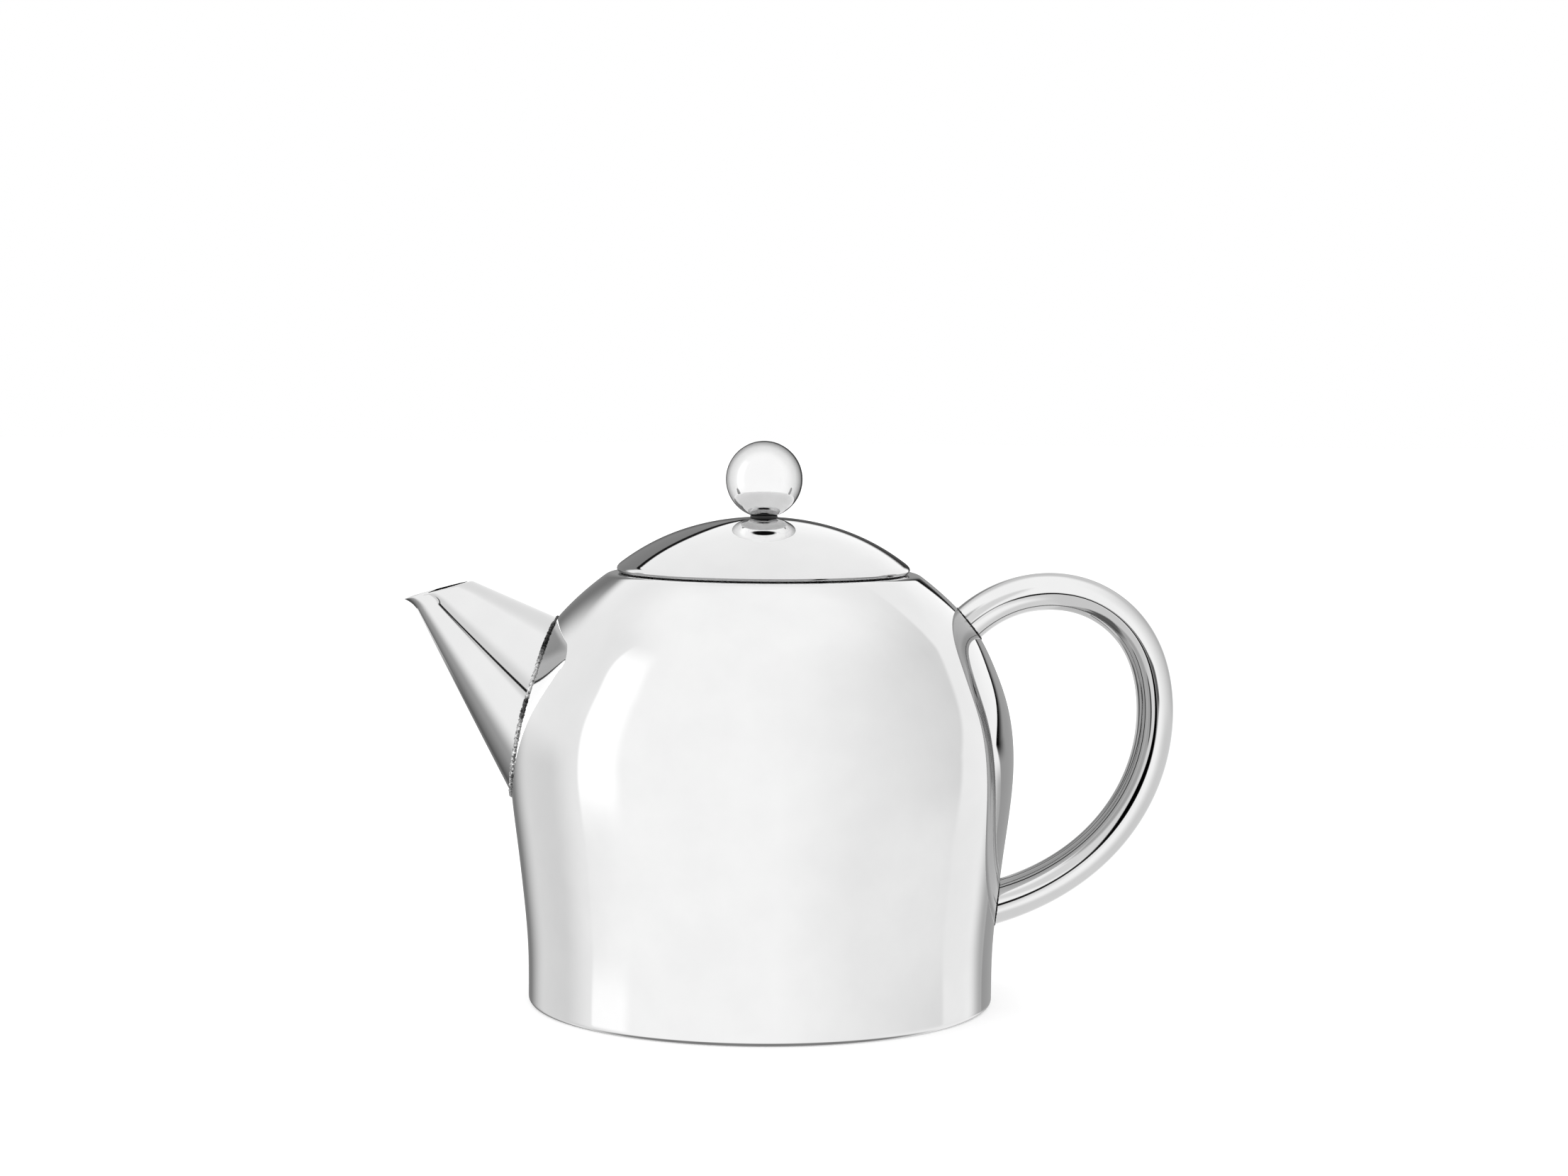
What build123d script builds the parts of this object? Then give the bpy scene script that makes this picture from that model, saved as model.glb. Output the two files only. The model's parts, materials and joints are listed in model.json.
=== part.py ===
from build123d import *
from math import cos, radians, sin, sqrt, tan
import os

# A one-litre teapot in polished stainless steel, with a double-walled body, a straight conical
# spout, a tubular ear handle, a lift-off lid with a ball knob and a lift-out infuser basket.
#
# Frame, in millimetres: +Z up, the origin at the centre of the foot on the table. The spout
# points along -X and the handle along +X, so the plane Y = 0 is the plane of symmetry.
# Profiles are given as (radius, height) pairs and turned about Z.

# ---- sheet thicknesses ----
SHELL_WALL = 0.8
VESSEL_WALL = 0.6
LID_WALL = 0.8
LINER_WALL = 0.6
SPOUT_WALL = 0.8
HANDLE_WALL = 0.9
BASKET_WALL = 0.5

# ---- body ----
MAX_RADIUS = 70.1
MOUTH_EDGE_RADIUS = 40.0  # where the outer shell ends, under the lid's rim
MOUTH_HEIGHT = 119.6
MOUTH_ROUND = 4.0  # rounding from the shoulder to the level mouth
MOUTH_FLAT_RADIUS = 41.7
SHOULDER_SLOPE = 37.0  # degrees, where the rounding starts
FOOT_CORNER = 1.5
FOOT_INNER_RADIUS = 60.5
# (radius, height) from the top of the foot's corner, past the belly, to the shoulder
BODY_OUTLINE = [
    (64.7, FOOT_CORNER),
    (64.9, 15.0),
    (66.2, 30.0),
    (68.0, 45.0),
    (MAX_RADIUS, 66.0),
    (68.1, 84.0),
    (64.5, 94.0),
    (59.9, 103.0),
    (53.2, 111.0),
]
BASE_RECESS = 3.0
BASE_RECESS_RADIUS = 55.0
BASE_RIM_WIDTH = 2.4  # flat edge of the base plate, beside the shell's turned-in edge
BASE_SLOPE_SHIFT = 0.4  # keeps the plate's thickness in its sloping part

# ---- mouth ring: seat for the infuser's flange ----
SEAT_HEIGHT = 118.3
SEAT_OUTER_RADIUS = 38.4
COLLAR_RADIUS = 36.0  # inside of the collar
COLLAR_BOTTOM = 112.6

# ---- inner vessel ----
VESSEL_FLOOR = 7.0
VESSEL_CORNER = 12.0
# (radius, height) of the outside of its wall, about 5 mm of air inside the outer shell
VESSEL_SIDE = [
    (59.1, VESSEL_FLOOR + VESSEL_CORNER),
    (61.7, 42.0),
    (64.3, 66.0),
    (61.9, 83.0),
    (53.3, 100.0),
]
VESSEL_SHOULDER = [
    (41.8, 110.6),
    (37.2, COLLAR_BOTTOM),
]
SHOULDER_END_SLOPE = (-1, 0.3)

# ---- spout: a round cone cut by the tilted plane of its mouth ----
CONE_APEX = (-106.2, 127.6)  # (x, z)
CONE_UPPER_SLOPE = 23.2  # degrees below horizontal, upper side
CONE_LOWER_SLOPE = 62.5  # degrees below horizontal, lower side
MOUTH_BACK_CORNER = (-81.3, 116.8)
MOUTH_TILT = 15.5  # degrees, the mouth rises towards the body
LIP_DEPTH = 3.6
LIP_REACH = 1.9  # how far the lip curls out beyond the cone
LIP_SECTIONS = 5
LIP_OVERSHOOT = 0.3  # the hollow runs this far past the plane of the mouth
# distances from the apex along the spout's axis
CONE_START = 2.0
CONE_END = 78.0
PASSAGE_START = 42.0
PASSAGE_END = 74.0
PASSAGE_RADIUS = 14.2
SLEEVE_WALL = 0.6
BEAD = 0.9

# ---- handle: a bent tube that thickens towards its lower end ----
HANDLE_LINE = [  # (x, z) of the centre line, its ends inside the body
    (53.0, 101.5),
    (57.7, 106.3),
    (66.2, 112.0),
    (78.8, 115.1),
    (91.0, 113.1),
    (103.3, 103.6),
    (109.6, 82.8),
    (106.2, 62.8),
    (94.7, 44.8),
    (78.2, 32.7),
    (66.5, 28.0),
    (60.0, 26.2),
]
HANDLE_SECTIONS = 15
HANDLE_RADIUS_TERMS = (5.4, -1.65, 2.4)  # radius = a + b u + c u^2 along the centre line

# ---- lid ----
LID_RADIUS = 40.7
LID_EDGE_HEIGHT = 120.7  # height of the rim's widest circle
LID_DOME_RADIUS = 39.5  # where the dome meets the rim's rounding
LID_UNDER_RADIUS = 39.4  # where the rounding meets the flat underside
LID_HEM_RADIUS = 37.4
DOME_TOP = 135.2
DOME_DROP = (10.7, 2.4)  # drop at the radius below, from the r^2 and r^4 terms
DOME_UNIT = 40.0
DOME_POINTS = 7
LID_COLLAR_RADIUS = 32.6
LID_COLLAR_BOTTOM = 111.5

# ---- knob ----
KNOB_RADIUS = 10.65
KNOB_WASHER_RADIUS = 3.8
KNOB_WASHER_THICKNESS = 0.35
KNOB_FLAT_RADIUS = 3.4
SCREW_RADIUS = 2.0
SCREW_HEAD_RADIUS = 3.6
SCREW_HEAD_HEIGHT = 2.4
SCREW_DEPTH = 8.0  # thread inside the ball
SCREW_SOCKET_RADIUS = 1.25
SCREW_SOCKET_DEPTH = 1.4
INNER_WASHER_RADIUS = 5.0
INNER_WASHER_THICKNESS = 0.8
INNER_WASHER_TOP = 134.22  # touches the underside of the dome

# ---- infuser ----
FLANGE_RADIUS = 37.9
FLANGE_THICKNESS = 0.8
BASKET_RADIUS = 34.6
BASKET_BOTTOM = 42.0
HOLE_RADIUS = 0.9
HOLE_COLUMNS = 30
HOLE_ROWS = 9
HOLE_LOWEST = 50.0
HOLE_PITCH = 5.6
FLOOR_HOLE_RINGS = 4
FLOOR_RING_PITCH = 6.6
FLOOR_RING_STEP = 6  # each ring has this many holes more than the last

# ---- modelling aids ----
OFFSET_POINTS = 29  # points that carry a curve drawn beside another one
DRILL_LENGTH = 6.0  # goes right through any sheet
CUTTER_SIZE = 200.0  # block that takes away everything on one side of a plane

UP = Axis.Z


# ---------------------------------------------------------------- helpers


def turned(*edges):
    """The solid made by turning a closed (radius, height) outline about Z."""
    return revolve(make_face(Plane.XZ * Wire(list(edges))), UP)


def turned_polygon(*corners):
    """A turned solid with straight sides."""
    return turned(*Polyline(*corners, close=True).edges())


def beside(curve, distance):
    """A spline at a constant distance to the right of a curve, seen along the curve."""
    points = []
    for i in range(OFFSET_POINTS):
        share = i / (OFFSET_POINTS - 1)
        place = curve @ share
        along = curve % share
        points.append((place.X + along.Y * distance, place.Y - along.X * distance))
    first, last = curve % 0, curve % 1
    return Spline(*points, tangents=[(first.X, first.Y), (last.X, last.Y)])


def upright_drill(radius):
    """A drill for a hole about Z, its middle at the origin."""
    return Cylinder(radius, DRILL_LENGTH)


# ---------------------------------------------------------------- body


def body_side(extra=0.0):
    """Edges of the body's outline from the foot's corner to the mouth, moved out by extra."""
    lean = radians(SHOULDER_SLOPE)
    centre = (MOUTH_FLAT_RADIUS, MOUTH_HEIGHT - MOUTH_ROUND)
    end = (centre[0] + MOUTH_ROUND * sin(lean), centre[1] + MOUTH_ROUND * cos(lean))
    side = Spline(*BODY_OUTLINE, end, tangents=[(0, 1), (-cos(lean), sin(lean))])
    if extra:
        side = beside(side, extra)
    top = MOUTH_HEIGHT + extra
    return [
        side,
        CenterArc(centre, MOUTH_ROUND + extra, 90 - SHOULDER_SLOPE, SHOULDER_SLOPE),
        Line((MOUTH_FLAT_RADIUS, top), (MOUTH_EDGE_RADIUS, top)),
    ]


def body_block(extra=0.0):
    """Everything inside the outer shell's surface, moved out by extra."""
    side = body_side(extra)
    low, high = side[0] @ 0, side[-1] @ 1
    return turned(
        Line((0, low.Y), (low.X, low.Y)),
        *side,
        Line((high.X, high.Y), (0, high.Y)),
        Line((0, high.Y), (0, low.Y)),
    )


def make_outer_shell():
    """Spun outer wall, turned in at the foot, with the spout's port."""
    foot_centre = BODY_OUTLINE[0][0] - FOOT_CORNER
    inner_corner = FOOT_CORNER - SHELL_WALL
    edge = MOUTH_EDGE_RADIUS
    shell = turned(
        *body_side(),
        Line((edge, MOUTH_HEIGHT), (edge, MOUTH_HEIGHT - SHELL_WALL)),
        *body_side(-SHELL_WALL),
        CenterArc((foot_centre, FOOT_CORNER), inner_corner, 0, -90),
        Line((foot_centre, SHELL_WALL), (FOOT_INNER_RADIUS, SHELL_WALL)),
        Line((FOOT_INNER_RADIUS, SHELL_WALL), (FOOT_INNER_RADIUS, 0)),
        Line((FOOT_INNER_RADIUS, 0), (foot_centre, 0)),
        CenterArc((foot_centre, FOOT_CORNER), FOOT_CORNER, -90, 90),
    )
    return shell - passage(PASSAGE_RADIUS + SLEEVE_WALL)


def make_base_plate():
    """Pressed disc that closes the foot, set up in the middle so that the pot stands on its rim."""
    step = FOOT_INNER_RADIUS - BASE_RIM_WIDTH
    top = BASE_RECESS
    return turned_polygon(
        (FOOT_INNER_RADIUS, 0),
        (FOOT_INNER_RADIUS, SHELL_WALL),
        (step, SHELL_WALL),
        (BASE_RECESS_RADIUS, top + SHELL_WALL),
        (0, top + SHELL_WALL),
        (0, top),
        (BASE_RECESS_RADIUS + BASE_SLOPE_SHIFT, top),
        (step + BASE_SLOPE_SHIFT, 0),
    )


def make_mouth_ring():
    """Stepped ring that joins the two walls at the mouth and seats the infuser's flange."""
    wall = VESSEL_WALL
    return turned_polygon(
        (MOUTH_EDGE_RADIUS, MOUTH_HEIGHT),
        (SEAT_OUTER_RADIUS, MOUTH_HEIGHT),
        (SEAT_OUTER_RADIUS, SEAT_HEIGHT),
        (COLLAR_RADIUS, SEAT_HEIGHT),
        (COLLAR_RADIUS, COLLAR_BOTTOM),
        (COLLAR_RADIUS + wall, COLLAR_BOTTOM),
        (COLLAR_RADIUS + wall, SEAT_HEIGHT - wall),
        (SEAT_OUTER_RADIUS + wall, SEAT_HEIGHT - wall),
        (SEAT_OUTER_RADIUS + wall, MOUTH_HEIGHT - SHELL_WALL),
        (MOUTH_EDGE_RADIUS, MOUTH_HEIGHT - SHELL_WALL),
    )


def vessel_outline(inset):
    """Edges of the inner vessel's wall on one side, from the floor's centre to its neck.

    inset is 0 for the outside of the wall and the wall's thickness for the inside.
    """
    floor = VESSEL_FLOOR + inset
    corner = VESSEL_CORNER - inset
    points = [(radius - inset, height) for radius, height in VESSEL_SIDE]
    points += [(radius - inset, height - inset) for radius, height in VESSEL_SHOULDER]
    foot = points[0][0]
    return [
        Line((0, floor), (foot - corner, floor)),
        CenterArc((foot - corner, floor + corner), corner, -90, 90),
        Spline(*points, tangents=[(0, 1), SHOULDER_END_SLOPE]),
    ]


def vessel_block(inset):
    """Everything inside the inner vessel's wall, closed at the neck."""
    edges = vessel_outline(inset)
    end = edges[-1] @ 1
    return turned(
        *edges,
        Line((end.X, end.Y), (0, end.Y)),
        Line((0, end.Y), (0, VESSEL_FLOOR + inset)),
    )


def make_inner_vessel():
    """Inner wall that holds the tea, with a neck that slides up round the mouth ring's collar."""
    outside = vessel_outline(0)
    inside = vessel_outline(VESSEL_WALL)
    top = outside[-1] @ 1
    inner_top = inside[-1] @ 1
    neck_top = SEAT_HEIGHT - VESSEL_WALL
    vessel = turned(
        *outside,
        Line((top.X, top.Y), (top.X, neck_top)),
        Line((top.X, neck_top), (inner_top.X, neck_top)),
        Line((inner_top.X, neck_top), (inner_top.X, inner_top.Y)),
        *inside,
        Line((0, VESSEL_FLOOR + VESSEL_WALL), (0, VESSEL_FLOOR)),
    )
    return vessel - passage(PASSAGE_RADIUS + SLEEVE_WALL)


# ---------------------------------------------------------------- spout

CONE_HALF_ANGLE = (CONE_LOWER_SLOPE - CONE_UPPER_SLOPE) / 2
CONE_AXIS_SLOPE = (CONE_LOWER_SLOPE + CONE_UPPER_SLOPE) / 2


def cone_plane(distance):
    """Plane across the spout's axis, at a distance from the apex, facing into the body."""
    run, rise = cos(radians(CONE_AXIS_SLOPE)), -sin(radians(CONE_AXIS_SLOPE))
    return Plane(
        origin=(CONE_APEX[0] + run * distance, 0, CONE_APEX[1] + rise * distance),
        x_dir=(0, 1, 0),
        z_dir=(run, 0, rise),
    )


def passage(radius):
    """Straight bore along the spout's axis, through both walls of the body."""
    middle = (PASSAGE_START + PASSAGE_END) / 2
    return cone_plane(middle) * Cylinder(radius, PASSAGE_END - PASSAGE_START)


def apex_moved(inward):
    """Distance along the axis by which the apex moves when the cone's wall moves inward."""
    return inward / sin(radians(CONE_HALF_ANGLE))


def cone_block(inward):
    """The spout's whole cone, its surface moved inward by a distance."""
    start = apex_moved(inward) + CONE_START
    slope = tan(radians(CONE_HALF_ANGLE))
    near = CONE_START * slope
    far = (CONE_END - apex_moved(inward)) * slope
    return cone_plane((start + CONE_END) / 2) * Cone(near, far, CONE_END - start)


def mouth_section(depth, inward):
    """The cone's section a depth below the plane of the mouth, as a face with its lip's reach."""
    tilt = radians(MOUTH_TILT)
    along, normal = Vector(cos(tilt), sin(tilt)), Vector(-sin(tilt), cos(tilt))
    move = apex_moved(inward)
    apex = Vector(*CONE_APEX) + Vector(
        cos(radians(CONE_AXIS_SLOPE)) * move, -sin(radians(CONE_AXIS_SLOPE)) * move
    )
    corner = Vector(*MOUTH_BACK_CORNER) - normal * depth
    ends = []
    for slope in (CONE_LOWER_SLOPE, CONE_UPPER_SLOPE):
        side = Vector(cos(radians(slope)), -sin(radians(slope)))
        ends.append((side, (corner - apex).dot(normal) / side.dot(normal)))
    (low_side, low), (high_side, high) = ends
    width = sqrt(low * high) * sin(radians(CONE_HALF_ANGLE))
    reach = LIP_REACH * max(0.0, 1 - depth / LIP_DEPTH) ** 2
    front = apex + low_side * low - along * reach
    back = apex + high_side * high
    centre = (front + back) * 0.5
    plane = Plane(
        origin=(centre.X, 0, centre.Y),
        x_dir=(along.X, 0, along.Y),
        z_dir=(normal.X, 0, normal.Y),
    )
    return plane * Ellipse((back - front).length / 2, width)


def spout_block(inward, overshoot=0.0):
    """Solid with the spout's shape: the cone up to the lip, then the flared lip."""
    tilt = radians(MOUTH_TILT)
    lip_start = Vector(*MOUTH_BACK_CORNER) - Vector(-sin(tilt), cos(tilt)) * LIP_DEPTH
    cut = Plane(
        origin=(lip_start.X, 0, lip_start.Y),
        x_dir=(cos(tilt), 0, sin(tilt)),
        z_dir=(-sin(tilt), 0, cos(tilt)),
    )
    above = cut * Pos(0, 0, CUTTER_SIZE / 2) * Box(CUTTER_SIZE, CUTTER_SIZE, CUTTER_SIZE)
    lower = cone_block(inward) - above
    depths = [LIP_DEPTH * i / (LIP_SECTIONS - 1) for i in range(LIP_SECTIONS)]
    sections = [mouth_section(depth, inward) for depth in reversed(depths)]
    if overshoot:
        sections.append(mouth_section(-overshoot, inward))
    return lower + loft(sections)


def make_spout():
    """Conical spout, hollow, cut to the body's surface."""
    return spout_block(0) - spout_block(SPOUT_WALL, LIP_OVERSHOOT) - body_block()


def make_spout_bead():
    """Weld bead in the corner between the spout and the body."""
    bead = cone_block(-BEAD) & body_block(BEAD)
    return bead - cone_block(0) - body_block()


def make_spout_sleeve():
    """Short tube that carries the tea through the air gap, from the vessel to the spout."""
    tube = passage(PASSAGE_RADIUS + SLEEVE_WALL) - passage(PASSAGE_RADIUS)
    return (tube & body_block()) - vessel_block(VESSEL_WALL)


# ---------------------------------------------------------------- handle


def handle_block(inward=0.0):
    """Loft of round sections along the handle's centre line."""
    line = Plane.XZ * Spline(*HANDLE_LINE)
    a, b, c = HANDLE_RADIUS_TERMS
    sections = []
    for i in range(HANDLE_SECTIONS):
        u = i / (HANDLE_SECTIONS - 1)
        place = Plane(origin=line @ u, x_dir=(0, 1, 0), z_dir=line % u)
        sections.append(place * Circle(a + b * u + c * u * u - inward))
    return loft(sections)


def make_handle():
    """Bent steel tube, cut to the body's surface at both ends."""
    return handle_block() - handle_block(HANDLE_WALL) - body_block()


def make_handle_beads():
    """The two weld beads round the handle's ends, the upper one first."""
    ring = handle_block(-BEAD) & body_block(BEAD)
    ring = ring - handle_block() - body_block()
    return sorted(ring.solids(), key=lambda s: -s.center().Z)


# ---------------------------------------------------------------- lid


def dome_height(radius):
    """Height of the lid's outer surface."""
    share = (radius / DOME_UNIT) ** 2
    return DOME_TOP - DOME_DROP[0] * share - DOME_DROP[1] * share * share


def dome_slope(radius):
    """Rise of the lid's outer surface over its run, outwards."""
    share = (radius / DOME_UNIT) ** 2
    return -2 * radius / DOME_UNIT**2 * (DOME_DROP[0] + 2 * DOME_DROP[1] * share)


def dome_curve():
    """The lid's outer surface from the rim's rounding inwards, as a spline."""
    radii = [LID_DOME_RADIUS * (1 - i / (DOME_POINTS - 1)) for i in range(DOME_POINTS)]
    points = [(radius, dome_height(radius)) for radius in radii]
    return Spline(*points, tangents=[(-1, -dome_slope(LID_DOME_RADIUS)), (-1, 0)])


def make_lid_cover():
    """Domed outer skin of the lid, its rim rounded and hemmed under, with the screw's hole."""
    outside = dome_curve()
    inside = beside(outside, -LID_WALL)
    underside = MOUTH_HEIGHT
    hem_top = underside + LID_WALL
    under = inside @ 0
    round_edge = Spline(
        (LID_UNDER_RADIUS, underside),
        (LID_RADIUS, LID_EDGE_HEIGHT),
        (LID_DOME_RADIUS, dome_height(LID_DOME_RADIUS)),
        tangents=[(1, 0), (-1, -dome_slope(LID_DOME_RADIUS))],
    )
    cover = turned(
        Line((LID_HEM_RADIUS, underside), (LID_UNDER_RADIUS, underside)),
        round_edge,
        outside,
        Line((0, DOME_TOP), (0, DOME_TOP - LID_WALL)),
        inside,
        Line((under.X, under.Y), (under.X, hem_top)),
        Line((under.X, hem_top), (LID_HEM_RADIUS, hem_top)),
        Line((LID_HEM_RADIUS, hem_top), (LID_HEM_RADIUS, underside)),
    )
    return cover - Pos(0, 0, DOME_TOP) * upright_drill(SCREW_RADIUS)


def make_lid_liner():
    """Flat inner skin with the collar that centres the lid in the infuser."""
    wall = LINER_WALL
    top = MOUTH_HEIGHT
    collar = LID_COLLAR_RADIUS
    bottom = LID_COLLAR_BOTTOM
    return turned_polygon(
        (LID_HEM_RADIUS, top),
        (LID_HEM_RADIUS, top + wall),
        (collar - wall, top + wall),
        (collar - wall, bottom + wall),
        (0, bottom + wall),
        (0, bottom),
        (collar, bottom),
        (collar, top),
    )


# ---------------------------------------------------------------- knob

KNOB_SEAT = DOME_TOP + KNOB_WASHER_THICKNESS
KNOB_CENTRE = KNOB_SEAT + sqrt(KNOB_RADIUS**2 - KNOB_FLAT_RADIUS**2)


def make_knob_ball():
    """Steel ball with a small flat to stand on and a blind hole for the screw."""
    ball = Pos(0, 0, KNOB_CENTRE) * Sphere(KNOB_RADIUS)
    below = Pos(0, 0, KNOB_SEAT - KNOB_RADIUS) * Cylinder(KNOB_RADIUS, 2 * KNOB_RADIUS)
    return ball - below - Pos(0, 0, KNOB_SEAT) * Cylinder(SCREW_RADIUS, 2 * SCREW_DEPTH)


def make_knob_washer():
    """Dark heat-resistant washer between the ball and the lid, dished to the dome."""
    disc = Pos(0, 0, DOME_TOP) * Cylinder(KNOB_WASHER_RADIUS, 2 * KNOB_WASHER_THICKNESS)
    edge = LID_DOME_RADIUS
    dome = turned(
        dome_curve(),
        Line((0, DOME_TOP), (0, MOUTH_HEIGHT)),
        Line((0, MOUTH_HEIGHT), (edge, MOUTH_HEIGHT)),
        Line((edge, MOUTH_HEIGHT), (edge, dome_height(edge))),
    )
    return disc - dome - Pos(0, 0, DOME_TOP) * upright_drill(SCREW_RADIUS)


def make_inner_washer():
    """Steel washer under the lid's skin."""
    ring = Cylinder(INNER_WASHER_RADIUS, INNER_WASHER_THICKNESS) - upright_drill(SCREW_RADIUS)
    return Pos(0, 0, INNER_WASHER_TOP - INNER_WASHER_THICKNESS / 2) * ring


def make_knob_screw():
    """Socket-head screw from inside the lid into the ball."""
    under = INNER_WASHER_TOP - INNER_WASHER_THICKNESS
    tip = KNOB_SEAT + SCREW_DEPTH
    shank = Pos(0, 0, (under + tip) / 2) * Cylinder(SCREW_RADIUS, tip - under)
    head = Cylinder(SCREW_HEAD_RADIUS, SCREW_HEAD_HEIGHT)
    head = Pos(0, 0, under - SCREW_HEAD_HEIGHT / 2) * head
    socket = extrude(RegularPolygon(SCREW_SOCKET_RADIUS, 6), SCREW_SOCKET_DEPTH)
    return shank + head - Pos(0, 0, under - SCREW_HEAD_HEIGHT) * socket


# ---------------------------------------------------------------- infuser


def make_infuser_rim():
    """Flat flange that hangs the basket in the mouth ring's seat."""
    return turned_polygon(
        (BASKET_RADIUS, SEAT_HEIGHT),
        (FLANGE_RADIUS, SEAT_HEIGHT),
        (FLANGE_RADIUS, SEAT_HEIGHT + FLANGE_THICKNESS),
        (BASKET_RADIUS, SEAT_HEIGHT + FLANGE_THICKNESS),
    )


def make_infuser_wall():
    """Straight wall of the basket with staggered rows of round holes."""
    bottom, top = BASKET_BOTTOM, SEAT_HEIGHT + FLANGE_THICKNESS
    inner = BASKET_RADIUS - BASKET_WALL
    wall = turned_polygon((inner, bottom), (BASKET_RADIUS, bottom), (BASKET_RADIUS, top), (inner, top))
    step = 360 / HOLE_COLUMNS
    holes = []
    for row in range(HOLE_ROWS):
        for column in range(HOLE_COLUMNS):
            turn = (column + 0.5 * (row % 2)) * step
            height = HOLE_LOWEST + row * HOLE_PITCH
            drill = Rot(0, 90, 0) * upright_drill(HOLE_RADIUS)
            holes.append(Rot(0, 0, turn) * Pos(BASKET_RADIUS, 0, height) * drill)
    return wall - holes


def make_infuser_floor():
    """Perforated disc that closes the basket."""
    radius = BASKET_RADIUS - BASKET_WALL
    disc = Pos(0, 0, BASKET_BOTTOM + BASKET_WALL / 2) * Cylinder(radius, BASKET_WALL)
    drill = Pos(0, 0, BASKET_BOTTOM) * upright_drill(HOLE_RADIUS)
    holes = [drill]
    for ring in range(1, FLOOR_HOLE_RINGS + 1):
        for place in PolarLocations(ring * FLOOR_RING_PITCH, FLOOR_RING_STEP * ring):
            holes.append(place * drill)
    return disc - holes


# ---------------------------------------------------------------- build


def main():
    os.makedirs("parts", exist_ok=True)
    upper_bead, lower_bead = make_handle_beads()
    pieces = {
        "outer_shell": make_outer_shell(),
        "base_plate": make_base_plate(),
        "mouth_ring": make_mouth_ring(),
        "inner_vessel": make_inner_vessel(),
        "spout": make_spout(),
        "spout_weld_bead": make_spout_bead(),
        "spout_sleeve": make_spout_sleeve(),
        "handle": make_handle(),
        "handle_upper_weld": upper_bead,
        "handle_lower_weld": lower_bead,
        "lid_cover": make_lid_cover(),
        "lid_liner": make_lid_liner(),
        "knob_ball": make_knob_ball(),
        "knob_washer": make_knob_washer(),
        "knob_screw": make_knob_screw(),
        "knob_inner_washer": make_inner_washer(),
        "infuser_rim": make_infuser_rim(),
        "infuser_wall": make_infuser_wall(),
        "infuser_floor": make_infuser_floor(),
    }
    for name, shape in pieces.items():
        export_step(shape, f"parts/{name}.step")


main()
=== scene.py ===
import json
from math import asin, cos, degrees, pi, radians, sin, sqrt

import bpy
import numpy as np
from mathutils import Euler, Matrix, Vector, noise


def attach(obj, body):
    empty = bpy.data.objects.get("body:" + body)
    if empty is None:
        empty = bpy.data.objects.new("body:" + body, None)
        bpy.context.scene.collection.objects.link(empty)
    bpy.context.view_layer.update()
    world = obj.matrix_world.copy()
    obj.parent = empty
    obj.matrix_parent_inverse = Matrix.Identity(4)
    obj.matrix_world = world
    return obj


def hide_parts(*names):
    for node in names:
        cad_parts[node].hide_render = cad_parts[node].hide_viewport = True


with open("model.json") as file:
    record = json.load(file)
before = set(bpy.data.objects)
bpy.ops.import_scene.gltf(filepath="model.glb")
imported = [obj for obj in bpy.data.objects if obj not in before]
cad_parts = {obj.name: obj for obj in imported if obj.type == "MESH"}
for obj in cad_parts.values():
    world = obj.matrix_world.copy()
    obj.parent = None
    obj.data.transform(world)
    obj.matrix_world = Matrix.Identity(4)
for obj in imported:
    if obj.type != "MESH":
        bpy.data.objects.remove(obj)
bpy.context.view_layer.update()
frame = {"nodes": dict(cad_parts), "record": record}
MM = 0.001

# The numbers below are the driving dimensions of the CAD model, in millimetres.
BODY_OUTLINE = [
    (64.7, 1.5),
    (64.9, 15.0),
    (66.2, 30.0),
    (68.0, 45.0),
    (70.1, 66.0),
    (68.1, 84.0),
    (64.5, 94.0),
    (59.9, 103.0),
    (53.2, 111.0),
]
SHELL_WALL = 0.8
MOUTH_HEIGHT = 119.6
MOUTH_ROUND = 4.0
MOUTH_FLAT_RADIUS = 41.7
MOUTH_EDGE_RADIUS = 40.0
SHOULDER_SLOPE = radians(37.0)
FOOT_CORNER = 1.5
FOOT_INNER_RADIUS = 60.5
CONE_APEX = np.array((-106.2, 0.0, 127.6))
CONE_UPPER_SLOPE = 23.2
CONE_LOWER_SLOPE = 62.5
MOUTH_BACK_CORNER = np.array((-81.3, 116.8))
MOUTH_TILT = radians(15.5)
LIP_DEPTH = 3.6
LIP_REACH = 1.9
SPOUT_WALL = 0.8
PORT_RADIUS = 14.8  # hole in the shell for the spout's sleeve
PORT_DEPTH = 74.0  # the hole is cut only this near to the cone's apex
HANDLE_LINE = [
    (53.0, 101.5),
    (57.7, 106.3),
    (66.2, 112.0),
    (78.8, 115.1),
    (91.0, 113.1),
    (103.3, 103.6),
    (109.6, 82.8),
    (106.2, 62.8),
    (94.7, 44.8),
    (78.2, 32.7),
    (66.5, 28.0),
    (60.0, 26.2),
]
HANDLE_RADIUS_TERMS = (5.4, -1.65, 2.4)
LID_RADIUS = 40.7
LID_EDGE_HEIGHT = 120.7
LID_HEM_RADIUS = 37.4
LID_WALL = 0.8
LID_DOME_RADIUS = 39.5
LID_UNDER_RADIUS = 39.4
DOME_TOP = 135.2
DOME_DROP = (10.7, 2.4)
DOME_UNIT = 40.0
KNOB_RADIUS = 10.65
KNOB_FLAT_RADIUS = 3.4
# the washer under the ball; its near-black colour is painted shade for the neck there
WASHER_THICKNESS = 0.35
KNOB_SEAT = DOME_TOP + WASHER_THICKNESS
SCREW_RADIUS = 2.0

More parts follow.
